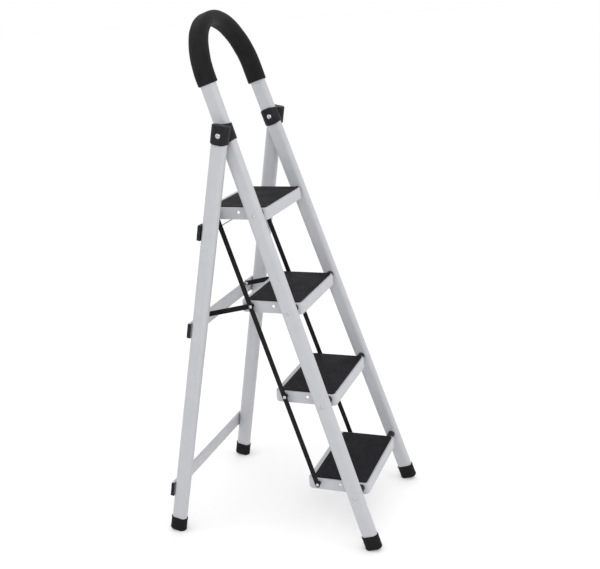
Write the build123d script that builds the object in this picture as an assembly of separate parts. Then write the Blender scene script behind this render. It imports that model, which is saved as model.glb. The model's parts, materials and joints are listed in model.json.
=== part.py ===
"""Folding step ladder with four steps, an arched handle and a folding rear frame.

Millimetres, +Z up, the climbing side faces -Y. The origin is on the floor, in the middle of the footprint.
While the pieces are being made, Y is measured from the hinge axis; they are centred at the end.
"""
from build123d import *
from math import atan, atan2, cos, degrees, hypot, radians, sin
import os

# ---------------------------------------------------------------- driving dimensions
HINGE_HEIGHT = 1139.0       # axis of the rear frame's hinge above the floor
FRONT_LEAN = 0.3173         # stiles: rearward travel per unit of height
REAR_LEAN = 0.1951          # rear legs: forward travel per unit of height
FRONT_HALF_WIDTH = 207.0    # stile centre from the middle, at the floor
REAR_HALF_WIDTH = 241.1     # rear leg centre from the middle, at the floor
INWARD = 0.0403             # stiles and legs: inward travel per unit of height

TUBE_DEPTH = 44.0           # flat-oval tube, front to back
TUBE_THICKNESS = 25.0
TUBE_WALL = 1.5
TUBE_START = 14.0           # height of the tubes' lower ends, inside the boots
ARCH_CENTRE = 1336.0        # centre of the handle arch, measured up the stiles from the floor
GRIP_WALL = 6.0
GRIP_TAIL_LEFT = 5.0        # how far the grip runs down the left stile below the arch
GRIP_TAIL_RIGHT = 30.0      # the sleeve has slid round towards the right stile

STEP_COUNT = 4
FIRST_TREAD_HEIGHT = 168.5  # top of the lowest mat
STEP_SPACING = 257.5
PIVOT_BELOW_TREAD = 15.0
TRAY_HALF_WIDTH = 153.0     # middle to the outer face of a side flange, for a tray at floor level
TRAY_INWARD = 0.017         # the trays narrow less than the stiles do
TRAY_FRONT = 20.0           # in front of the pivot
TRAY_REAR = 156.0           # behind the pivot
TRAY_HEIGHT = 32.0
TRAY_WALL = 1.5
TRAY_CORNER = 13.0
TRAY_BEND = 3.0             # outer radius where the top turns down into the flanges
TRAY_REAR_CORNER = 11.0     # rounding of the flange's lower rear corner, seen from the side
MAT_RIM = 6.0               # bare steel in front of the mat and beside it
MAT_REAR_RIM = 15.0         # bare steel behind it
MAT_THICKNESS = 2.5
FLANGE_HOLE_RADIUS = 4.0
FLANGE_HOLE_REACH = 61.0    # behind the pivot

LINK_REACH = 123.0          # pivot to link rivet
LINK_STANDOFF = 13.0        # tray flange to the middle of the link bar
LINK_WIDTH = 13.0
BAR_THICKNESS = 3.0
LINK_END = 8.0              # bar beyond its last rivet

SPREADER_STEP = 2           # third step from the floor
SPREADER_STANDOFF = 6.0     # tray flange to the middle of the spreader, at the third step
SPREADER_WIDTH = 14.0
LUG_OFFSET = 15.0           # lug rivet behind the rear leg's centre line
LUG_RADIUS = 9.0
LUG_THICKNESS = 3.0
LUG_TAIL = 13.0             # arm below the rivet
LUG_FOOT_WIDTH = 18.0
LUG_FOOT_HEIGHT = 14.0
LUG_FOOT_THICKNESS = 2.0

FOLD_ANGLE = 26.5           # rear frame, open to folded
STEP_FOLD_ANGLE = 64.0      # steps, level to folded

RAIL_HEIGHT = 43.0
RAIL_LIP = 8.0
RAIL_BEND = 3.0
RAIL_END = 9.0              # rails and rod run this far past the leg's centre line
UPPER_RAIL_DROP = 539.0     # hinge to the middle of the rail, measured down the leg
LOWER_RAIL_DROP = 1031.0
PAD_DROP = 262.0
ROD_DROP = 279.0
ROD_RADIUS = 1.75
PAD_DEPTH = 9.5
PAD_HEIGHT = 42.0
PAD_WIDTH = 26.0
PAD_EDGE = 3.0
PAD_FACE_EDGE = 1.5
PAD_RIVET_SPACING = 22.0
ROD_DEPTH = 5.0             # rod behind the leg's rear face

COLLAR_WALL = 3.0
COLLAR_HALF_LENGTH = 24.5
COLLAR_ARCH = 65.0          # radius of the curved ends of collars and caps
CAP_ABOVE_HINGE = 26.0
CAP_EDGE = 2.0
HINGE_GAP = 0.6             # under the heads of the hinge rivets

FOOT_WALL = 2.5
FOOT_LENGTH = 42.0
FOOT_EDGE = 8.0
FOOT_TRIM = 2.5             # worn flat: how much of the rounded edge the floor takes off

RIVET_RADIUS = 3.0
HEAD_RADIUS = 4.8
HEAD_HEIGHT = 2.2
HINGE_RIVET_RADIUS = 4.0
HINGE_HEAD_RADIUS = 6.5
SPACER_RADIUS = 10.5
LINK_SPACER_RADIUS = 6.0
FIT = 0.05                  # radial clearance of a rivet in a hole that turns on it
AIR = 0.3                   # gap between faces of pieces that move past each other

# ---------------------------------------------------------------- frame geometry
front_angle = atan(FRONT_LEAN)
rear_angle = atan(REAR_LEAN)
X_AXIS = Vector(1, 0, 0)
HINGE = (0.0, HINGE_HEIGHT)


def front_half(z):
    """Half width between the stile centres at height z."""
    return FRONT_HALF_WIDTH - INWARD * z


def rear_half(z):
    """Half width between the rear leg centres at height z."""
    return REAR_HALF_WIDTH - INWARD * z


def stile_point(z):
    """Point on the right stile's centre line."""
    return Vector(front_half(z), (z - HINGE_HEIGHT) * FRONT_LEAN, z)


def leg_point(z):
    """Point on the right rear leg's centre line."""
    return Vector(rear_half(z), (HINGE_HEIGHT - z) * REAR_LEAN, z)


def tray_half(z):
    """Middle to the outer face of the side flange of a tray whose pivot is at height z."""
    return TRAY_HALF_WIDTH - TRAY_INWARD * z


def beside_leg(drop, offset):
    """(y, z) of a point a given way down the rear leg from the hinge and behind its centre line."""
    y = drop * sin(rear_angle) + offset * cos(rear_angle)
    z = HINGE_HEIGHT - drop * cos(rear_angle) + offset * sin(rear_angle)
    return (y, z)


def turn(point, centre, angle):
    """A (y, z) point turned about the X axis through centre, in degrees."""
    c, s = cos(radians(angle)), sin(radians(angle))
    y, z = point[0] - centre[0], point[1] - centre[1]
    return (centre[0] + y * c - z * s, centre[1] + y * s + z * c)


def tube_plane(start, end):
    """Plane across a tube: local X runs front to back, local Z along the tube."""
    along = (end - start).normalized()
    across = (X_AXIS - along * X_AXIS.dot(along)).normalized()
    return Plane(origin=start, x_dir=along.cross(across), z_dir=along)


step_pivots = []
link_pivots = []
for index in range(STEP_COUNT):
    pivot_height = FIRST_TREAD_HEIGHT - PIVOT_BELOW_TREAD + index * STEP_SPACING
    pivot_y = stile_point(pivot_height).Y
    step_pivots.append((pivot_y, pivot_height))
    link_pivots.append((pivot_y + LINK_REACH, pivot_height))

# The lug rivet is as far from the spreader's step rivet when the ladder is open as when it is folded.
spreader_pivot = link_pivots[SPREADER_STEP]
folded_pivot = turn(spreader_pivot, step_pivots[SPREADER_STEP], STEP_FOLD_ANGLE)
folded_seen_from_leg = turn(folded_pivot, HINGE, FOLD_ANGLE)
middle = [(a + b) / 2 for a, b in zip(spreader_pivot, folded_seen_from_leg)]
apart = [b - a for a, b in zip(spreader_pivot, folded_seen_from_leg)]
line_start = beside_leg(0, LUG_OFFSET)
line_step = (sin(rear_angle), -cos(rear_angle))
lug_drop = sum(d * (m - s) for d, m, s in zip(apart, middle, line_start))
lug_drop /= sum(d * t for d, t in zip(apart, line_step))
LUG = beside_leg(lug_drop, LUG_OFFSET)
spreader_length = hypot(LUG[0] - spreader_pivot[0], LUG[1] - spreader_pivot[1])
folded_lug = turn(LUG, HINGE, -FOLD_ANGLE)
open_slope = atan2(LUG[1] - spreader_pivot[1], LUG[0] - spreader_pivot[0])
folded_slope = atan2(folded_lug[1] - folded_pivot[1], folded_lug[0] - folded_pivot[0])
spreader_fold_angle = degrees(open_slope - folded_slope) - FOLD_ANGLE  # on its lug, open to folded


# ---------------------------------------------------------------- small building blocks
def pin(radius, x_low, x_high, point):
    """Cylinder along X between two x values, through a (y, z) point."""
    middle_x = (x_low + x_high) / 2
    return Location((middle_x, point[0], point[1])) * (Rotation(0, 90, 0) * Cylinder(radius, x_high - x_low))


def rivet_head(radius, height):
    """Domed head on the XY plane, standing up along Z."""
    ball_radius = (radius * radius + height * height) / (2 * height)
    ball = Location((0, 0, height - ball_radius)) * Sphere(ball_radius)
    return ball & Location((0, 0, height / 2)) * Cylinder(radius + 1, height)


def dome(radius, height, x_face, point, outward):
    """Rivet head on a face at x_face, standing out along +X or -X."""
    place = Location((x_face, point[0], point[1])) * Rotation(0, 90 * outward, 0)
    return place * rivet_head(radius, height)


def oval(depth, thickness):
    """Flat-oval outline with round sides; its long way is local X."""
    return SlotOverall(depth, thickness)


def oval_tube(start, end, depth, thickness, wall=None):
    """Straight flat-oval bar from start to end, hollow if a wall is given."""
    outline = oval(depth, thickness)
    if wall:
        outline -= oval(depth - 2 * wall, thickness - 2 * wall)
    return extrude(tube_plane(start, end) * outline, (end - start).length)


def mirrored(shape):
    """The same piece on the left side."""
    return mirror(shape, about=Plane.YZ)


def both_sides(shape):
    return [shape, mirrored(shape)]


nodes = {}


def add(name, *shapes):
    """Store one node: every solid of the shapes given."""
    solids = [solid for shape in shapes for solid in shape.solids()]
    nodes[name] = solids[0] if len(solids) == 1 else Compound(solids)


# ---------------------------------------------------------------- front tube and handle
stile_plane = Plane(
    origin=(0, -HINGE_HEIGHT * FRONT_LEAN, 0),
    x_dir=(1, 0, 0),
    z_dir=(0, -cos(front_angle), sin(front_angle)),
)
arch_slope = atan(INWARD * cos(front_angle))
arch_radius = (FRONT_HALF_WIDTH - INWARD * cos(front_angle) * ARCH_CENTRE) * cos(arch_slope)


def on_stile_plane(x, up):
    """Point in the plane of the stiles, at a distance up them from the floor."""
    return stile_plane.from_local_coords(Vector(x, up, 0))


def arch_path(tail_left, tail_right):
    """Centre line over the arch, with a straight tail down each stile below it."""
    side_x = arch_radius * cos(arch_slope)
    side_up = ARCH_CENTRE + arch_radius * sin(arch_slope)

    def tail_end(side, tail):
        return on_stile_plane(side * (side_x + tail * sin(arch_slope)), side_up - tail * cos(arch_slope))

    left = Line(tail_end(-1, tail_left), on_stile_plane(-side_x, side_up))
    top = ThreePointArc(
        on_stile_plane(-side_x, side_up),
        on_stile_plane(0, ARCH_CENTRE + arch_radius),
        on_stile_plane(side_x, side_up),
    )
    right = Line(on_stile_plane(side_x, side_up), tail_end(1, tail_right))
    return Wire([left, top, right])


def swept_oval(path, depth, thickness):
    """Solid flat-oval bar along a path."""
    start = path @ 0
    along = path % 0
    section = Plane(origin=start, x_dir=stile_plane.z_dir, z_dir=along) * oval(depth, thickness)
    return sweep(section, path=path)


tail_to_floor = (ARCH_CENTRE + arch_radius * sin(arch_slope) - TUBE_START) / cos(arch_slope)
tube_path = arch_path(tail_to_floor, tail_to_floor)
front_solid = swept_oval(tube_path, TUBE_DEPTH, TUBE_THICKNESS)
front_bore = swept_oval(tube_path, TUBE_DEPTH - 2 * TUBE_WALL, TUBE_THICKNESS - 2 * TUBE_WALL)
front_tube = front_solid - front_bore

grip_path = arch_path(GRIP_TAIL_LEFT, GRIP_TAIL_RIGHT)
grip = swept_oval(grip_path, TUBE_DEPTH + 2 * GRIP_WALL, TUBE_THICKNESS + 2 * GRIP_WALL) - front_solid

# ---------------------------------------------------------------- rear legs
leg_top = leg_point(HINGE_HEIGHT + (CAP_ABOVE_HINGE - COLLAR_WALL) * cos(rear_angle))
leg_solid = oval_tube(leg_point(TUBE_START), leg_top, TUBE_DEPTH, TUBE_THICKNESS)
rear_leg = oval_tube(leg_point(TUBE_START), leg_top, TUBE_DEPTH, TUBE_THICKNESS, TUBE_WALL)


# ---------------------------------------------------------------- hinges
def hinge_moulding(centre_line, low, high, angle):
    """Sleeve outline round a tube at the hinge, its lower end curved."""
    centre = centre_line(HINGE_HEIGHT)
    start = centre_line(HINGE_HEIGHT + low * cos(angle))
    end = centre_line(HINGE_HEIGHT + high * cos(angle))
    body = oval_tube(start, end, TUBE_DEPTH + 2 * COLLAR_WALL, TUBE_THICKNESS + 2 * COLLAR_WALL)
    sink = COLLAR_ARCH - COLLAR_HALF_LENGTH
    up = (end - start).normalized()
    lower = centre + up * sink
    return body & pin(COLLAR_ARCH, 0, 2 * centre.X, (lower.Y, lower.Z)), up, centre


collar, stile_up, stile_hinge = hinge_moulding(
    stile_point, -COLLAR_HALF_LENGTH, COLLAR_HALF_LENGTH, front_angle
)
upper = stile_hinge - stile_up * (COLLAR_ARCH - COLLAR_HALF_LENGTH)
collar = collar & pin(COLLAR_ARCH, 0, 2 * stile_hinge.X, (upper.Y, upper.Z))
collar = collar - front_solid

cap, _, leg_hinge = hinge_moulding(leg_point, -COLLAR_HALF_LENGTH, CAP_ABOVE_HINGE, rear_angle)
cap = fillet(cap.edges().sort_by(Axis.Z)[-1], CAP_EDGE)
cap = cap - leg_solid

half_moulding = TUBE_THICKNESS / 2 + COLLAR_WALL
hinge_in = stile_hinge.X - half_moulding - HINGE_GAP
hinge_out = leg_hinge.X + half_moulding + HINGE_GAP
hinge_hole = pin(HINGE_RIVET_RADIUS + FIT, 0, 2 * leg_hinge.X, HINGE)
hinge_rivet = pin(HINGE_RIVET_RADIUS, hinge_in, hinge_out, HINGE)
hinge_rivet += dome(HINGE_HEAD_RADIUS, HEAD_HEIGHT, hinge_in, HINGE, -1)
hinge_rivet += dome(HINGE_HEAD_RADIUS, HEAD_HEIGHT, hinge_out, HINGE, 1)
front_tube -= hinge_hole
front_tube -= mirrored(hinge_hole)
rear_leg -= hinge_hole
collar -= hinge_hole
cap -= hinge_hole


# ---------------------------------------------------------------- feet
def boot(centre_line, angle, tube_solid):
    """Rubber boot over the lower end of a tube, cut square to it and trimmed flat where it stands."""
    half_depth = TUBE_DEPTH / 2 + FOOT_WALL
    low_corner = (half_depth - FOOT_EDGE) * sin(angle) + FOOT_EDGE * (1 - cos(angle))
    start_height = low_corner - FOOT_TRIM
    start = centre_line(start_height)
    end = centre_line(start_height + FOOT_LENGTH * cos(angle))
    shape = oval_tube(start, end, 2 * half_depth, TUBE_THICKNESS + 2 * FOOT_WALL)
    shape = fillet(shape.edges().sort_by(Axis.Z)[:4], FOOT_EDGE - 0.5)
    slab = Box(4 * FOOT_LENGTH, 4 * FOOT_LENGTH, FOOT_LENGTH)
    below = Location((start.X, start.Y, -FOOT_LENGTH / 2)) * slab
    return shape - below - tube_solid


front_foot = boot(stile_point, front_angle, front_solid)
rear_foot = boot(leg_point, rear_angle, leg_solid)


# ---------------------------------------------------------------- steps
def tray(index):
    """Pressed tray: flat top, four flanges, open below."""
    pivot_y, pivot_z = step_pivots[index]
    width = 2 * tray_half(pivot_z)
    depth = TRAY_FRONT + TRAY_REAR
    top = pivot_z + PIVOT_BELOW_TREAD - MAT_THICKNESS
    centre = Location((0, pivot_y + (TRAY_REAR - TRAY_FRONT) / 2, top - TRAY_HEIGHT / 2))
    outer = Box(width, depth, TRAY_HEIGHT)
    outer = fillet(outer.edges().filter_by(Axis.Z), TRAY_CORNER)
    outer = fillet(outer.faces().sort_by(Axis.Z)[-1].edges(), TRAY_BEND)
    inner = Box(width - 2 * TRAY_WALL, depth - 2 * TRAY_WALL, TRAY_HEIGHT)
    inner = fillet(inner.edges().filter_by(Axis.Z), TRAY_CORNER - TRAY_WALL)
    inner = fillet(inner.faces().sort_by(Axis.Z)[-1].edges(), TRAY_BEND - TRAY_WALL)
    shell = outer - Location((0, 0, -TRAY_WALL)) * inner
    profile = Rectangle(depth, 2 * TRAY_HEIGHT)
    profile = fillet(profile.vertices().group_by(Axis.Y)[0].sort_by(Axis.X)[-1], TRAY_REAR_CORNER)
    side = extrude(Plane.YZ * Location((0, TRAY_HEIGHT / 2)) * profile, width, both=True)
    shell = centre * (shell & side)
    flange_hole = (pivot_y + FLANGE_HOLE_REACH, pivot_z)
    shell -= pin(RIVET_RADIUS + FIT, -width, width, step_pivots[index])
    shell -= pin(RIVET_RADIUS + FIT, -width, width, link_pivots[index])
    shell -= pin(FLANGE_HOLE_RADIUS, -width, width, flange_hole)
    return shell


def mat(index):
    """Rubber mat that lies on the tray's top."""
    pivot_y, pivot_z = step_pivots[index]
    width = 2 * (tray_half(pivot_z) - MAT_RIM)
    depth = TRAY_FRONT + TRAY_REAR - MAT_RIM - MAT_REAR_RIM
    height = pivot_z + PIVOT_BELOW_TREAD - MAT_THICKNESS / 2
    sheet = Box(width, depth, MAT_THICKNESS)
    sheet = fillet(sheet.edges().filter_by(Axis.Z), TRAY_CORNER - MAT_RIM)
    middle_y = pivot_y + (TRAY_REAR - MAT_REAR_RIM - TRAY_FRONT + MAT_RIM) / 2
    return Location((0, middle_y, height)) * sheet


step_rivets = []
step_spacers = []
for index in range(STEP_COUNT):
    pivot = step_pivots[index]
    flange = tray_half(pivot[1])
    stile_face = front_half(pivot[1]) + TUBE_THICKNESS / 2
    hole = pin(RIVET_RADIUS + FIT, 0, 2 * stile_face, pivot)
    front_tube -= hole
    front_tube -= mirrored(hole)
    head_in = flange - TRAY_WALL - AIR
    head_out = stile_face + AIR
    rivet = pin(RIVET_RADIUS, head_in, head_out, pivot)
    rivet += dome(HEAD_RADIUS, HEAD_HEIGHT, head_in, pivot, -1)
    rivet += dome(HEAD_RADIUS, HEAD_HEIGHT, head_out, pivot, 1)
    step_rivets += both_sides(rivet)
    spacer = pin(SPACER_RADIUS, flange + AIR, front_half(pivot[1]), pivot) - front_solid
    spacer -= pin(RIVET_RADIUS, 0, 2 * stile_face, pivot)
    step_spacers += both_sides(spacer)


# ---------------------------------------------------------------- link bars
def link_centre(index):
    """Centre of the link bar at a step's link rivet."""
    y, z = link_pivots[index]
    return Vector(tray_half(z) + LINK_STANDOFF, y, z)


def link_bar():
    """Flat bar with round ends, beside the trays' flanges, drilled at the four link rivets."""
    low, high = link_centre(0), link_centre(STEP_COUNT - 1)
    along = (high - low).normalized()
    across = (X_AXIS - along * X_AXIS.dot(along)).normalized()
    length = (high - low).length + 2 * LINK_END
    flat = Plane(origin=(low + high) / 2, x_dir=along, z_dir=across)
    bar = extrude(flat * SlotOverall(length, LINK_WIDTH), BAR_THICKNESS / 2, both=True)
    for index in range(STEP_COUNT):
        bar -= pin(RIVET_RADIUS + FIT, 0, 2 * high.X, link_pivots[index])
    return bar


link = link_bar()
half_bar = BAR_THICKNESS / 2
spreader_x = tray_half(spreader_pivot[1]) + SPREADER_STANDOFF


def open_at_spreader(piece, index):
    """At the spreader's step a piece is parted where the spreader passes: this pivot is left open."""
    if index != SPREADER_STEP:
        return piece
    gap = half_bar + AIR
    return piece - pin(2 * LINK_SPACER_RADIUS, spreader_x - gap, spreader_x + gap, link_pivots[index])


def link_rivet(index):
    """Rivet through the tray's flange and the link bar, with a head at each end."""
    y, z = link_pivots[index]
    head_in = tray_half(z) - TRAY_WALL - AIR
    head_out = link_centre(index).X + half_bar + AIR
    rivet = pin(RIVET_RADIUS, head_in, head_out, (y, z))
    rivet += dome(HEAD_RADIUS, HEAD_HEIGHT, head_in, (y, z), -1)
    rivet += dome(HEAD_RADIUS, HEAD_HEIGHT, head_out, (y, z), 1)
    return open_at_spreader(rivet, index)


def link_spacer(index):
    """Bush between the tray's flange and the link bar."""
    y, z = link_pivots[index]
    bar_face = link_centre(index).X - half_bar - AIR
    spacer = pin(LINK_SPACER_RADIUS, tray_half(z), bar_face, (y, z))
    return open_at_spreader(spacer - pin(RIVET_RADIUS, 0, 2 * bar_face, (y, z)), index)


# ---------------------------------------------------------------- spreaders and their lugs
def spreader():
    """Flat bar from the third step's link rivet to the lug."""
    middle_point = Vector(spreader_x, (spreader_pivot[0] + LUG[0]) / 2, (spreader_pivot[1] + LUG[1]) / 2)
    along = Vector(0, LUG[0] - spreader_pivot[0], LUG[1] - spreader_pivot[1]).normalized()
    flat = Plane(origin=middle_point, x_dir=along, z_dir=X_AXIS)
    bar = extrude(flat * SlotOverall(spreader_length + SPREADER_WIDTH, SPREADER_WIDTH), half_bar, both=True)
    for point in (spreader_pivot, LUG):
        bar -= pin(RIVET_RADIUS + FIT, 0, 2 * spreader_x, point)
    return bar


rail_face = TUBE_DEPTH / 2


def rail_plane(drop, offset):
    """Plane on the rear legs: local X is X, local Y runs down the legs, local Z points rearward."""
    y, z = beside_leg(drop, offset)
    return Plane(origin=(0, y, z), x_dir=(1, 0, 0), z_dir=(0, cos(rear_angle), sin(rear_angle)))


lug_face = spreader_x + half_bar + AIR


def lug():
    """Angle welded to the upper rail: an arm beside the spreader's end, and a foot on the rail."""
    at_lug = rail_plane(lug_drop, LUG_OFFSET)
    reach = rail_face - LUG_OFFSET
    arm_place = Location((lug_face + LUG_THICKNESS / 2, (LUG_TAIL - LUG_RADIUS) / 2, reach / 2))
    arm = at_lug * arm_place * Box(LUG_THICKNESS, LUG_TAIL + LUG_RADIUS, reach)
    eye = pin(LUG_RADIUS, lug_face, lug_face + LUG_THICKNESS, LUG)
    foot_place = Location((lug_face + LUG_FOOT_WIDTH / 2, LUG_TAIL, reach - LUG_FOOT_THICKNESS / 2))
    foot = at_lug * foot_place * Box(LUG_FOOT_WIDTH, LUG_FOOT_HEIGHT, LUG_FOOT_THICKNESS)
    slab = Box(4 * LUG_FOOT_WIDTH, 4 * LUG_RADIUS, 2 * LUG_RADIUS)
    behind = rail_plane(lug_drop, rail_face) * Location((lug_face, 0, LUG_RADIUS)) * slab
    return arm + eye + foot - pin(RIVET_RADIUS, 0, 2 * lug_face, LUG) - behind


def lug_rivet():
    """Rivet that holds the spreader's rear end on the lug."""
    head_in = spreader_x - half_bar - AIR
    head_out = lug_face + LUG_THICKNESS
    rivet = pin(RIVET_RADIUS, head_in, head_out, LUG)
    rivet += dome(HEAD_RADIUS, HEAD_HEIGHT, head_in, LUG, -1)
    return rivet + dome(HEAD_RADIUS, HEAD_HEIGHT, head_out, LUG, 1)


# ---------------------------------------------------------------- rails, pads and rod
def rail(drop):
    """Pressed channel: a web on the rear faces of the legs and two lips turned rearward."""
    z = beside_leg(drop, rail_face)[1]
    length = 2 * (rear_half(z) + RAIL_END)
    block = Box(length, RAIL_HEIGHT, RAIL_LIP)
    block = fillet(block.faces().sort_by(Axis.Z)[0].edges().filter_by(Axis.X), RAIL_BEND)
    inside = Location((0, 0, TRAY_WALL)) * Box(length, RAIL_HEIGHT - 2 * TRAY_WALL, RAIL_LIP)
    return rail_plane(drop, rail_face) * Location((0, 0, RAIL_LIP / 2)) * (block - inside)


def pad(drop, cut):
    """Black block on the rear face of the right leg, with a pocket for what it holds."""
    z = beside_leg(drop, rail_face)[1]
    block = Box(PAD_WIDTH, PAD_HEIGHT, PAD_DEPTH)
    block = fillet(block.edges().filter_by(Axis.Z), PAD_EDGE)
    block = fillet(block.faces().sort_by(Axis.Z)[-1].edges(), PAD_FACE_EDGE)
    place = Location((rear_half(z), 0, PAD_DEPTH / 2))
    return rail_plane(drop, rail_face) * place * block - leg_solid - cut


def pad_rivet(drop, shift):
    """Rivet head on the back of a pad."""
    z = beside_leg(drop, rail_face)[1]
    head = rivet_head(HEAD_RADIUS, HEAD_HEIGHT)
    return rail_plane(drop + shift, rail_face + PAD_DEPTH) * Location((rear_half(z), 0, 0)) * head


upper_rail = rail(UPPER_RAIL_DROP)
lower_rail = rail(LOWER_RAIL_DROP)
rod_point = beside_leg(ROD_DROP, rail_face + ROD_DEPTH)
rod_half = rear_half(rod_point[1]) + RAIL_END
tie_rod = pin(ROD_RADIUS, -rod_half, rod_half, rod_point)
upper_cap = pad(UPPER_RAIL_DROP, upper_rail)
lower_cap = pad(LOWER_RAIL_DROP, lower_rail)
rod_pad = pad(PAD_DROP, tie_rod)
rivet_heads = []
for drop in (PAD_DROP, UPPER_RAIL_DROP, LOWER_RAIL_DROP):
    for shift in (-PAD_RIVET_SPACING / 2, PAD_RIVET_SPACING / 2):
        rivet_heads += both_sides(pad_rivet(drop, shift))

# ---------------------------------------------------------------- nodes
add("front_tube", front_tube)
add("handle_grip", grip)
add("hinge_rivets", *both_sides(hinge_rivet))
add("step_pivot_rivets", *step_rivets)
add("step_pivot_spacers", *step_spacers)
for side, place in (("right", lambda shape: shape), ("left", mirrored)):
    add(f"hinge_collar_{side}", place(collar))
    add(f"front_foot_{side}", place(front_foot))
    add(f"rear_leg_{side}", place(rear_leg))
    add(f"leg_cap_{side}", place(cap))
    add(f"rear_foot_{side}", place(rear_foot))
    add(f"link_bar_{side}", place(link))
    add(f"spreader_{side}", place(spreader()))
add("upper_rail", upper_rail)
add("lower_rail", lower_rail)
add("tie_rod", tie_rod)
add("upper_rail_caps", *both_sides(upper_cap))
add("lower_rail_caps", *both_sides(lower_cap))
add("rod_pads", *both_sides(rod_pad))
add("rail_rivets", *rivet_heads)
add("spreader_lugs", *both_sides(lug()))
add("spreader_lug_rivets", *both_sides(lug_rivet()))
for index in range(STEP_COUNT):
    add(f"step_tray_{index + 1}", tray(index))
    add(f"step_mat_{index + 1}", mat(index))
    add(f"link_rivets_{index + 1}", *both_sides(link_rivet(index)))
    add(f"link_spacers_{index + 1}", *both_sides(link_spacer(index)))

# ---------------------------------------------------------------- centre on the footprint and write
whole = Compound([solid for shape in nodes.values() for solid in shape.solids()]).bounding_box()
centre_y = (whole.min.Y + whole.max.Y) / 2
os.makedirs("parts", exist_ok=True)
for name, shape in nodes.items():
    export_step(Pos(0, -centre_y, 0) * shape, f"parts/{name}.step")
print(f"{len(nodes)} pieces, overall {whole.size}, hinge at y {-centre_y:.3f}")
print(f"fold angles: rear frame {FOLD_ANGLE}, steps {STEP_FOLD_ANGLE}, spreaders {spreader_fold_angle:.4f}")
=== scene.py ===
"""Folding step ladder: finishes, foam grip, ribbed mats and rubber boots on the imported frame.

Metres, +Z up, the climbing side faces -Y, the floor is at z = 0.
"""
import json
import math

import bmesh
import bpy
from mathutils import Matrix, Vector, noise


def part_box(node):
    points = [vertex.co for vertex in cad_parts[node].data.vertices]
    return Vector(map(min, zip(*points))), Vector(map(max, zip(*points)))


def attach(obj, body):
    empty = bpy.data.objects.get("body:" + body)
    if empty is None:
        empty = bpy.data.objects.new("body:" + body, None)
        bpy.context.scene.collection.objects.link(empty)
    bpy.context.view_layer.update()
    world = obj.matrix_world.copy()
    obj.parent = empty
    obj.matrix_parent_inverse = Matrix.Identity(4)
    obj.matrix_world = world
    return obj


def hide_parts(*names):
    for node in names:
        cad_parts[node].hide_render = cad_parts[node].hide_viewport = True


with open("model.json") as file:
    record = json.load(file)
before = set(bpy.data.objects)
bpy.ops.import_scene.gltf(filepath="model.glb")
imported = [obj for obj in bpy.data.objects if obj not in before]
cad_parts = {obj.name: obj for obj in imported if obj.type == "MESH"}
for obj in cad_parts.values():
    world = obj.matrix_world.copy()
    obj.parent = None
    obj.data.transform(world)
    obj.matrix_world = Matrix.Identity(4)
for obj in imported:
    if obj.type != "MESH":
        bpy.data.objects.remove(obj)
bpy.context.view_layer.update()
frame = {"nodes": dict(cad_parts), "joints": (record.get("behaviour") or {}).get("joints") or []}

nodes = frame["nodes"]
MM = 0.001

# ---------------------------------------------------------------- camera, floor and light
CAMERA_PLACE = Vector((-2.365, -0.938, 1.465))
CAMERA_YAW = math.radians(-69.347)
CAMERA_PITCH = math.radians(17.099)
CAMERA_ROLL = math.radians(-3.791)
FOCAL_SHARE = 0.9392 / 0.6      # focal length as a share of the picture's width
SENSOR = 36.0
WORLD_STRENGTH = 1.0
FLOOR_REACH = 60.0
LADDER_MIDDLE = (0.0, 0.0, 0.7)


def make_camera():
    """Camera that looks down on the ladder's left side, from the front."""
    back = Vector((
        math.sin(CAMERA_YAW) * math.cos(CAMERA_PITCH),
        -math.cos(CAMERA_YAW) * math.cos(CAMERA_PITCH),
        math.sin(CAMERA_PITCH),
    ))
    level = (-back).cross(Vector((0, 0, 1))).normalized()
    upright = level.cross(-back)
    right = math.cos(CAMERA_ROLL) * level + math.sin(CAMERA_ROLL) * upright
    up = math.cos(CAMERA_ROLL) * upright - math.sin(CAMERA_ROLL) * level
    data = bpy.data.cameras.new("camera")
    data.sensor_fit = "HORIZONTAL"
    data.sensor_width = SENSOR
    data.lens = FOCAL_SHARE * SENSOR
    data.clip_end = 3 * FLOOR_REACH
    camera = bpy.data.objects.new("camera", data)
    turn = Matrix((right, up, back)).transposed().to_4x4()
    camera.matrix_world = Matrix.Translation(CAMERA_PLACE) @ turn
    bpy.context.scene.collection.objects.link(camera)
    bpy.context.scene.camera = camera


def area_light(name, place, target, size, power, colour=(1.0, 1.0, 1.0)):
    """Square soft box that points at a target."""
    data = bpy.data.lights.new(name, "AREA")
    data.size = size
    data.energy = power
    data.color = colour
    light = bpy.data.objects.new(name, data)
    light.location = place
    light.rotation_euler = (Vector(target) - Vector(place)).to_track_quat("-Z", "Y").to_euler()
    bpy.context.scene.collection.objects.link(light)


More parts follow.
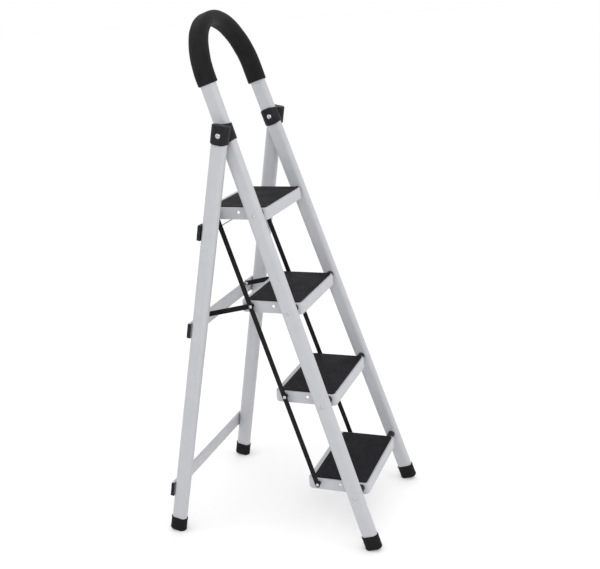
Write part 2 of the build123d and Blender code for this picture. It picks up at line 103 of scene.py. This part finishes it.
def make_studio():
    """White room light, three soft boxes and a plain pale floor that melts into the background."""
    world = bpy.data.worlds.new("studio")
    world.use_nodes = True
    background = world.node_tree.nodes["Background"]
    background.inputs["Color"].default_value = (1.0, 1.0, 1.0, 1.0)
    background.inputs["Strength"].default_value = WORLD_STRENGTH
    bpy.context.scene.world = world
    bpy.context.scene.view_settings.view_transform = "Standard"
    area_light("key", (-2.4, -1.2, 2.4), LADDER_MIDDLE, 1.6, 20.0)
    area_light("front", (-0.3, -3.0, 1.9), LADDER_MIDDLE, 1.8, 13.0)
    area_light("rim", (-1.0, 2.6, 2.2), LADDER_MIDDLE, 1.4, 7.0)
    mesh = bpy.data.meshes.new("floor")
    turns = ((-1, -1), (1, -1), (1, 1), (-1, 1))
    corners = [(x * FLOOR_REACH, y * FLOOR_REACH, 0) for x, y in turns]
    mesh.from_pydata(corners, [], [(0, 1, 2, 3)])
    floor = bpy.data.objects.new("floor", mesh)
    bpy.context.scene.collection.objects.link(floor)
    material, _, _, shader, _ = new_material("floor_paint")
    shader.inputs["Base Color"].default_value = (0.92, 0.92, 0.92, 1.0)
    shader.inputs["Emission Color"].default_value = (1.0, 1.0, 1.0, 1.0)
    shader.inputs["Emission Strength"].default_value = 0.08
    shader.inputs["Roughness"].default_value = 0.85
    shader.inputs["Specular IOR Level"].default_value = 0.1
    mesh.materials.append(material)


# ---------------------------------------------------------------- material helpers
def new_material(name):
    """Material with its node list, link list, shader and object coordinates."""
    material = bpy.data.materials.new(name)
    material.use_nodes = True
    tree = material.node_tree
    coordinates = tree.nodes.new("ShaderNodeTexCoord").outputs["Object"]
    return material, tree.nodes, tree.links, tree.nodes["Principled BSDF"], coordinates


def grain(nodes_in, links, coordinates, scale, detail=3.0, stretch=None):
    """Noise of a given scale per metre, drawn out along an axis if asked."""
    if stretch:
        mapping = nodes_in.new("ShaderNodeMapping")
        mapping.inputs["Scale"].default_value = stretch
        links.new(coordinates, mapping.inputs["Vector"])
        coordinates = mapping.outputs["Vector"]
    texture = nodes_in.new("ShaderNodeTexNoise")
    texture.inputs["Scale"].default_value = scale
    texture.inputs["Detail"].default_value = detail
    links.new(coordinates, texture.inputs["Vector"])
    return texture.outputs["Fac"]


def spread(nodes_in, links, value, socket, stops):
    """Colour ramp from a value to a socket; stops are (position, grey or colour)."""
    ramp = nodes_in.new("ShaderNodeValToRGB")
    elements = ramp.color_ramp.elements
    while len(elements) < len(stops):
        elements.new(0.5)
    for element, (position, colour) in zip(elements, stops):
        element.position = position
        element.color = (*colour, 1.0) if isinstance(colour, tuple) else (colour, colour, colour, 1.0)
    links.new(value, ramp.inputs["Fac"])
    links.new(ramp.outputs["Color"], socket)


def rough_between(nodes_in, links, value, shader, low, high):
    """Roughness that follows a noise between two limits."""
    scale = nodes_in.new("ShaderNodeMapRange")
    scale.inputs["From Min"].default_value = 0.3
    scale.inputs["From Max"].default_value = 0.7
    scale.inputs["To Min"].default_value = low
    scale.inputs["To Max"].default_value = high
    links.new(value, scale.inputs["Value"])
    links.new(scale.outputs["Result"], shader.inputs["Roughness"])


def relief(nodes_in, links, shader, layers):
    """Bump layers, each (height, strength, depth in metres), stacked on the shader's normal."""
    normal = None
    for height, strength, depth in layers:
        bump = nodes_in.new("ShaderNodeBump")
        bump.inputs["Strength"].default_value = strength
        bump.inputs["Distance"].default_value = depth
        links.new(height, bump.inputs["Height"])
        if normal:
            links.new(normal, bump.inputs["Normal"])
        normal = bump.outputs["Normal"]
    links.new(normal, shader.inputs["Normal"])


# ---------------------------------------------------------------- materials
def powder_coat():
    """Light silver-grey powder coat: orange peel, faint mottling and a few rubbed streaks."""
    material, tree, links, shader, place = new_material("powder_coat_paint")
    mottle = grain(tree, links, place, 38.0, 5.0)
    spread(tree, links, mottle, shader.inputs["Base Color"], [
        (0.30, (0.420, 0.424, 0.448)),
        (0.52, (0.434, 0.438, 0.462)),
        (0.75, (0.446, 0.450, 0.474)),
    ])
    streaks = grain(tree, links, place, 30.0, 4.0, (6.0, 1.0, 0.35))
    rough_between(tree, links, streaks, shader, 0.33, 0.47)
    peel = grain(tree, links, place, 520.0, 2.0)
    fine = grain(tree, links, place, 2200.0, 2.0)
    relief(tree, links, shader, [(peel, 0.22, 0.12 * MM), (fine, 0.18, 0.05 * MM)])
    shader.inputs["Coat Weight"].default_value = 0.12
    shader.inputs["Coat Roughness"].default_value = 0.25
    return material


def black_steel():
    """Black stove enamel on flat bar: satin, with rubbed greyer patches."""
    material, tree, links, shader, place = new_material("black_steel_paint")
    rubbed = grain(tree, links, place, 55.0, 6.0, (1.0, 1.0, 0.5))
    spread(tree, links, rubbed, shader.inputs["Base Color"], [
        (0.35, (0.007, 0.007, 0.008)),
        (0.62, (0.011, 0.011, 0.012)),
        (0.80, (0.022, 0.022, 0.024)),
    ])
    rough_between(tree, links, rubbed, shader, 0.30, 0.46)
    peel = grain(tree, links, place, 700.0, 2.0)
    relief(tree, links, shader, [(peel, 0.25, 0.10 * MM)])
    shader.inputs["Specular IOR Level"].default_value = 0.09
    return material


def zinc_steel():
    """Zinc-plated steel with a fine cloudy sheen and turned marks."""
    material, tree, links, shader, place = new_material("zinc_steel_plate")
    shader.inputs["Metallic"].default_value = 1.0
    cloud = grain(tree, links, place, 420.0, 4.0)
    spread(tree, links, cloud, shader.inputs["Base Color"], [
        (0.30, (0.40, 0.40, 0.42)),
        (0.70, (0.56, 0.56, 0.57)),
    ])
    rough_between(tree, links, cloud, shader, 0.24, 0.42)
    scratch = grain(tree, links, place, 900.0, 3.0, (0.2, 1.0, 1.0))
    relief(tree, links, shader, [(scratch, 0.18, 0.05 * MM)])
    return material


def black_plastic():
    """Moulded black polypropylene with a spark-eroded grain."""
    material, tree, links, shader, place = new_material("black_plastic_moulding")
    flow = grain(tree, links, place, 60.0, 4.0)
    spread(tree, links, flow, shader.inputs["Base Color"], [
        (0.30, (0.011, 0.011, 0.013)),
        (0.70, (0.018, 0.018, 0.021)),
    ])
    rough_between(tree, links, flow, shader, 0.36, 0.50)
    spark = grain(tree, links, place, 1500.0, 3.0)
    relief(tree, links, shader, [(spark, 0.35, 0.10 * MM)])
    shader.inputs["Specular IOR Level"].default_value = 0.12
    return material


def rubber(name, dark, light, low, high, specular):
    """Moulded rubber: matt, with pale bloom in fine specks over a dark tone."""
    material, tree, links, shader, place = new_material(name)
    bloom = grain(tree, links, place, 240.0, 6.0)
    spread(tree, links, bloom, shader.inputs["Base Color"], [(0.30, dark), (0.55, dark), (0.78, light)])
    broad = grain(tree, links, place, 22.0, 4.0)
    rough_between(tree, links, broad, shader, low, high)
    speck = grain(tree, links, place, 1300.0, 3.0)
    relief(tree, links, shader, [(speck, 0.35, 0.12 * MM)])
    shader.inputs["Specular IOR Level"].default_value = specular
    return material


def grip_foam():
    """Closed-cell foam: pores under a dull skin, a little sheen at grazing angles."""
    material, tree, links, shader, place = new_material("grip_foam_skin")
    tone = grain(tree, links, place, 45.0, 5.0)
    spread(tree, links, tone, shader.inputs["Base Color"], [
        (0.28, (0.008, 0.008, 0.008)),
        (0.74, (0.015, 0.015, 0.015)),
    ])
    rough_between(tree, links, tone, shader, 0.66, 0.84)
    cells = tree.new("ShaderNodeTexVoronoi")
    cells.inputs["Scale"].default_value = 1150.0
    links.new(place, cells.inputs["Vector"])
    dents = grain(tree, links, place, 190.0, 3.0)
    relief(tree, links, shader, [(dents, 0.30, 0.5 * MM), (cells.outputs["Distance"], 0.40, 0.16 * MM)])
    shader.inputs["Sheen Weight"].default_value = 0.05
    shader.inputs["Sheen Roughness"].default_value = 0.5
    shader.inputs["Specular IOR Level"].default_value = 0.08
    return material


finishes = {
    "powder_coat": powder_coat(),
    "black_steel": black_steel(),
    "zinc_steel": zinc_steel(),
    "black_plastic": black_plastic(),
    "foot_rubber": rubber(
        "foot_rubber_moulding", (0.008, 0.008, 0.008), (0.020, 0.020, 0.021), 0.50, 0.66, 0.10
    ),
    "mat_rubber": rubber(
        "mat_rubber_sheet", (0.010, 0.009, 0.011), (0.020, 0.019, 0.022), 0.52, 0.66, 0.07
    ),
    "grip_foam": grip_foam(),
}
for node in nodes.values():
    for index, material in enumerate(node.data.materials):
        node.data.materials[index] = finishes[material.name.split(".")[0]]


# ---------------------------------------------------------------- softened edges on the CAD pieces
SHARP_ANGLE = math.radians(40)      # edges that turn by more than this are rounded
EDGE_SOFTENING = {
    "hinge_collar": 0.6 * MM,
    "leg_cap": 0.6 * MM,
    "step_pivot_spacers": 0.4 * MM,
    "link_bar": 0.35 * MM,
    "spreader_left": 0.35 * MM,
    "spreader_right": 0.35 * MM,
}


def soften(node, width):
    """Round a CAD piece's sharp edges a little."""
    weld = node.modifiers.new("weld", "WELD")
    weld.merge_threshold = 0.01 * MM
    bevel = node.modifiers.new("edges", "BEVEL")
    bevel.width = width
    bevel.segments = 2
    bevel.limit_method = "ANGLE"
    bevel.angle_limit = SHARP_ANGLE


for name, node in nodes.items():
    for start, width in EDGE_SOFTENING.items():
        if name.startswith(start):
            soften(node, width)

# ---------------------------------------------------------------- mesh helpers
def ring_surface(name, rings, closed, slot_name, body, replaced):
    """Piece skinned over rings of equal length. A closed one joins its last ring to its first;
    an open one is closed by a point in the middle of each end ring."""
    count = len(rings[0])
    points = [point for ring in rings for point in ring]
    faces = []
    spans = len(rings) if closed else len(rings) - 1
    for row in range(spans):
        here, there = row * count, (row + 1) % len(rings) * count
        for i in range(count):
            j = (i + 1) % count
            faces.append((here + i, here + j, there + j, there + i))
    if not closed:
        for ring, flip in ((0, True), (len(rings) - 1, False)):
            points.append(sum(rings[ring], Vector()) / count)
            tip = len(points) - 1
            for i in range(count):
                a, b = ring * count + i, ring * count + (i + 1) % count
                faces.append((tip, b, a) if flip else (tip, a, b))
    return finish_piece(name, points, faces, slot_name, body, replaced)


def finish_piece(name, points, faces, slot_name, body, replaced):
    """Mesh object with a finish, riding on its body in place of a CAD node."""
    mesh = bpy.data.meshes.new(name)
    mesh.from_pydata([tuple(point) for point in points], [], faces)
    mesh.validate()
    mesh.shade_smooth()
    mesh.materials.append(finishes[slot_name])
    piece = bpy.data.objects.new(name, mesh)
    bpy.context.scene.collection.objects.link(piece)
    outward(piece)
    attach(piece, body)
    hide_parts(replaced)
    return piece


def outward(piece):
    """Turn a closed mesh's faces outward."""
    mesh = bmesh.new()
    mesh.from_mesh(piece.data)
    bmesh.ops.recalc_face_normals(mesh, faces=mesh.faces)
    mesh.to_mesh(piece.data)
    mesh.free()


def oval_ring(centre, wide_axis, narrow_axis, half_depth, half_thickness, count, shift=None):
    """Flat-oval ring; shift(angle) moves a point outward."""
    ring = []
    flat = half_depth - half_thickness
    for i in range(count):
        angle = 2 * math.pi * i / count
        radius = half_thickness + (shift(angle) if shift else 0.0)
        along = math.copysign(flat, math.sin(angle)) + radius * math.sin(angle)
        if abs(math.sin(angle)) < 1e-9:
            along = 0.0
        ring.append(centre + wide_axis * along + narrow_axis * radius * math.cos(angle))
    return ring


# ---------------------------------------------------------------- stile line and arch
joint_place = {joint["name"]: Vector(joint["pos_m"]) for joint in frame["joints"]}
hinge = joint_place["rear_fold"]
first_pivot = joint_place["step_1_fold"]
FRONT_LEAN = (hinge.y - first_pivot.y) / (hinge.z - first_pivot.z)
REAR_LEAN = 0.1951
FRONT_HALF_WIDTH = 207.0 * MM
REAR_HALF_WIDTH = 241.1 * MM
INWARD = 0.0403
TUBE_DEPTH = 44.0 * MM
TUBE_THICKNESS = 25.0 * MM
ARCH_CENTRE = 1336.0 * MM
GRIP_WALL = 6.0 * MM
GRIP_TAIL_LEFT = 5.0 * MM
GRIP_TAIL_RIGHT = 30.0 * MM

front_angle = math.atan(FRONT_LEAN)
stile_up = Vector((0, math.sin(front_angle), math.cos(front_angle)))
stile_normal = Vector((0, -math.cos(front_angle), math.sin(front_angle)))
stile_foot = Vector((0, hinge.y - hinge.z * FRONT_LEAN, 0))
arch_slope = math.atan(INWARD * math.cos(front_angle))
arch_radius = (FRONT_HALF_WIDTH - INWARD * math.cos(front_angle) * ARCH_CENTRE) * math.cos(arch_slope)


def arch_frame(distance):
    """Centre, direction outward from the arch, and share of the turn made, at a distance along the grip."""
    sweep = math.pi + 2 * arch_slope
    arch_length = sweep * arch_radius
    along = min(max(distance - GRIP_TAIL_LEFT, 0.0), arch_length)
    angle = math.pi + arch_slope - along / arch_radius
    outward_way = Vector((math.cos(angle), 0, 0)) + stile_up * math.sin(angle)
    centre = stile_foot + stile_up * ARCH_CENTRE + outward_way * arch_radius
    direction = Vector((math.sin(angle), 0, 0)) - stile_up * math.cos(angle)
    centre = centre + direction * (distance - GRIP_TAIL_LEFT - along)
    return centre, outward_way, along / arch_length


GRIP_EDGE = 3.0 * MM                # rounding at the sleeve's ends
GRIP_SKIN_INSET = 0.6 * MM          # room left for the uneven skin
SKIN_WAVES = ((28.0, 0.55 * MM), (95.0, 0.18 * MM))     # noise scale per metre, height
FOLD_PITCH = 8.5 * MM
FOLD_HEIGHT = 0.75 * MM
SHOULDERS = (0.13, 0.87)            # shares of the turn where the foam bunches
SHOULDER_WIDTH = 0.07
BORE_CLEARANCE = 0.08 * MM


def grip():
    """Foam sleeve: rounded ends, an uneven skin, and small folds inside both shoulders of the bend."""
    length = (math.pi + 2 * arch_slope) * arch_radius + GRIP_TAIL_LEFT + GRIP_TAIL_RIGHT
    count = 72
    steps = 420
    half_depth = TUBE_DEPTH / 2 + GRIP_WALL
    half_thickness = TUBE_THICKNESS / 2 + GRIP_WALL
    rings = []
    for step in range(steps + 1):
        eased = 0.5 - 0.5 * math.cos(math.pi * step / steps)
        distance = length * eased * 0.25 + length * step / steps * 0.75
        centre, away, share = arch_frame(distance)
        from_end = min(distance, length - distance)
        past_edge = max(GRIP_EDGE - from_end, 0.0)
        inset = GRIP_EDGE - math.sqrt(max(GRIP_EDGE ** 2 - past_edge ** 2, 0.0))
        shoulder = sum(math.exp(-((share - middle) / SHOULDER_WIDTH) ** 2) for middle in SHOULDERS)

        def shift(angle, centre=centre, inset=inset, shoulder=shoulder, distance=distance):
            inner = max(-math.cos(angle), 0.0) ** 2
            probe = centre + stile_normal * math.sin(angle) * half_depth
            uneven = sum(noise.noise(probe * scale) * height for scale, height in SKIN_WAVES)
            wave = noise.noise(Vector((distance * 40.0, math.sin(angle), 3.0))) * 1.5
            folds = math.sin(distance / FOLD_PITCH * 2 * math.pi + wave + 1.2 * math.sin(angle))
            return -inset - GRIP_SKIN_INSET + uneven + shoulder * inner * folds * FOLD_HEIGHT

        rings.append(oval_ring(centre, stile_normal, away, half_depth, half_thickness, count, shift))
    bore_steps = 120
    for step in range(bore_steps + 1):
        centre, away, _ = arch_frame(length * (1 - step / bore_steps))
        rings.append(oval_ring(
            centre, stile_normal, away,
            TUBE_DEPTH / 2 + BORE_CLEARANCE, TUBE_THICKNESS / 2 + BORE_CLEARANCE, count
        ))
    piece = ring_surface("foam_grip", rings, True, "grip_foam", "front_frame", "handle_grip")


# ---------------------------------------------------------------- mats
RIB_PITCH = 6.4 * MM
RIB_HEIGHT = 0.9 * MM
MAT_BORDER = 5.0 * MM
MAT_CORNER = 7.0 * MM
MAT_EDGE = 0.6 * MM                 # width of the rounding along the mat's top edge
MAT_EDGE_DROP = 0.5 * MM
RIB_SAMPLES = 8                     # rows of vertices on each rib
CORNER_ROWS = (0.0, 0.04, 0.12, 0.25, 0.4, 0.6)         # shares of the corner radius
EDGE_COLUMNS = (0.0, 0.6, 1.4, 2.6, 4.2, 5.0, 5.8, 7.0, 9.0)     # millimetres from the side
INNER_COLUMNS = (0.2, 0.45, 0.7)    # shares of the half width


def ribbed_mat(step):
    """Rubber mat with round-topped ribs across the step, inside a plain border."""
    low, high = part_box(f"step_mat_{step}")
    centre = (low + high) / 2
    half_width, half_depth = (high.x - low.x) / 2, (high.y - low.y) / 2
    rib_count = int((2 * half_depth - 2 * MAT_BORDER) / RIB_PITCH)
    ribbed_half = rib_count * RIB_PITCH / 2
    plain = high.z - RIB_HEIGHT * 0.55
    rows = [-half_depth + MAT_CORNER * share for share in CORNER_ROWS]
    rows += [-ribbed_half + RIB_PITCH * i / RIB_SAMPLES for i in range(rib_count * RIB_SAMPLES + 1)]
    rows += [-row for row in reversed(rows[:len(CORNER_ROWS)])]
    columns = [value * MM for value in EDGE_COLUMNS] + [half_width * share for share in INNER_COLUMNS]
    points = []
    for y in rows:
        over = max(abs(y) - (half_depth - MAT_CORNER), 0.0)
        edge = half_width - MAT_CORNER + math.sqrt(max(MAT_CORNER ** 2 - over ** 2, 0.0))
        left = [-edge + value for value in columns]
        line = left + [0.0] + [-x for x in reversed(left)]
        for x in line:
            inside = min(edge - abs(x), half_depth - abs(y))
            rounding = MAT_EDGE_DROP * max(1 - inside / MAT_EDGE, 0.0) ** 2
            near_end = min(max((edge - abs(x) - MAT_BORDER + 0.9 * MM) / (1.6 * MM), 0.0), 1.0)
            on_ribs = abs(y) <= ribbed_half
            wave = abs(math.sin(math.pi * (y + ribbed_half) / RIB_PITCH)) if on_ribs else 0.0
            rise = RIB_HEIGHT * near_end * (wave ** 0.7) if on_ribs else 0.0
            base = plain - RIB_HEIGHT * 0.45 * near_end if on_ribs else plain
            points.append(Vector((centre.x + x, centre.y + y, min(base + rise, high.z) - rounding)))
    across = 2 * len(columns) + 1
    top_count = len(points)
    points += [Vector((point.x, point.y, low.z)) for point in points]
    faces = []
    for row in range(len(rows) - 1):
        for i in range(across - 1):
            a, b = row * across + i, row * across + i + 1
            c, d = b + across, a + across
            faces.append((a, b, c, d))
            faces.append((a + top_count, d + top_count, c + top_count, b + top_count))
    rim = list(range(across))
    rim += [row * across + across - 1 for row in range(1, len(rows))]
    rim += [(len(rows) - 1) * across + i for i in range(across - 2, -1, -1)]
    rim += [row * across for row in range(len(rows) - 2, 0, -1)]
    for i, a in enumerate(rim):
        b = rim[(i + 1) % len(rim)]
        faces.append((a, a + top_count, b + top_count, b))
    finish_piece(f"ribbed_mat_{step}", points, faces, "mat_rubber", f"step_{step}", f"step_mat_{step}")


# ---------------------------------------------------------------- rubber boots
FOOT_WALL = 2.5 * MM
FOOT_LENGTH = 42.0 * MM
FOOT_EDGE = 8.0 * MM
FOOT_TRIM = 2.5 * MM
TUBE_START = 14.0 * MM
SOLE_GROOVE_PITCH = 5.0 * MM
SOLE_GROOVE_DEPTH = 0.6 * MM
SOLE_CONTACT = 0.25 * MM            # points lower than this belong to the sole
BOOT_BORE_OVERLAP = 0.05 * MM
# Side of the boot up to its mouth: height above the sole and inset, in millimetres.
BOOT_SIDE = (
    (8.5, 0.0), (10.0, 0.35), (12.0, 0.5), (20.0, 0.5), (28.0, 0.5), (35.0, 0.5), (36.2, 0.45),
    (36.8, 0.25), (37.4, 0.05), (38.2, 0.0), (40.6, 0.0), (41.3, 0.1), (41.8, 0.4), (42.0, 0.8),
)


def rubber_boot(name, side, half_width, lean, forward, body):
    """Boot over a tube's end: rounded foot worn flat, a bead round the mouth, and a grooved sole."""
    angle = math.atan(lean)
    half_depth = TUBE_DEPTH / 2 + FOOT_WALL
    half_thickness = TUBE_THICKNESS / 2 + FOOT_WALL
    low_corner = (half_depth - FOOT_EDGE) * math.sin(angle) + FOOT_EDGE * (1 - math.cos(angle))
    start_height = low_corner - FOOT_TRIM

    def centre_line(z):
        return Vector((side * (half_width - INWARD * z), hinge.y - forward * (hinge.z - z) * lean, z))

    start = centre_line(start_height)
    along = (centre_line(1.0) - start).normalized()
    sideways = Vector((1, 0, 0))
    sideways = (sideways - along * sideways.dot(along)).normalized()
    depthwise = along.cross(sideways)
    count = 64
    rings = []
    edge = FOOT_EDGE - 0.5 * MM

    def ring(height, inset):
        return oval_ring(
            start + along * height, depthwise, sideways, half_depth - inset, half_thickness - inset, count
        )

    inner_reach = half_thickness - edge
    for i in range(1, 9):
        rings.append(ring(0.0, edge + inner_reach * (1 - i / 8) * 0.97))
    for i in range(1, 11):
        turn = math.pi / 2 * i / 10
        rings.append(ring(edge * (1 - math.cos(turn)), edge * (1 - math.sin(turn))))
    sole_rings = len(rings)
    for height, inset in BOOT_SIDE:
        rings.append(ring(height * MM, inset * MM))
    bore_inset = FOOT_WALL - BOOT_BORE_OVERLAP
    bore_bottom = (TUBE_START - start_height) / math.cos(angle)
    rings.append(ring(FOOT_LENGTH, 1.6 * MM))
    rings.append(ring(FOOT_LENGTH - 0.4 * MM, bore_inset))
    rings.append(ring(bore_bottom, bore_inset))
    for i in range(1, 4):
        rings.append(ring(bore_bottom, bore_inset + (half_thickness - bore_inset) * i / 3 * 0.95))
    for row in rings[:sole_rings]:
        for i, point in enumerate(row):
            if point.z < SOLE_CONTACT:
                across_sole = (point.y - start.y) / SOLE_GROOVE_PITCH * 2 * math.pi
                lift = max(0.0, SOLE_GROOVE_DEPTH * math.sin(across_sole))
                row[i] = Vector((point.x, point.y, lift))
    ring_surface(f"rubber_boot_{name}", rings, False, "foot_rubber", body, name)


grip()
for step in range(1, 5):
    ribbed_mat(step)
for side_name, side in (("right", 1), ("left", -1)):
    rubber_boot(f"front_foot_{side_name}", side, FRONT_HALF_WIDTH, FRONT_LEAN, 1, "front_frame")
    rubber_boot(f"rear_foot_{side_name}", side, REAR_HALF_WIDTH, REAR_LEAN, -1, "rear_frame")

make_camera()
make_studio()
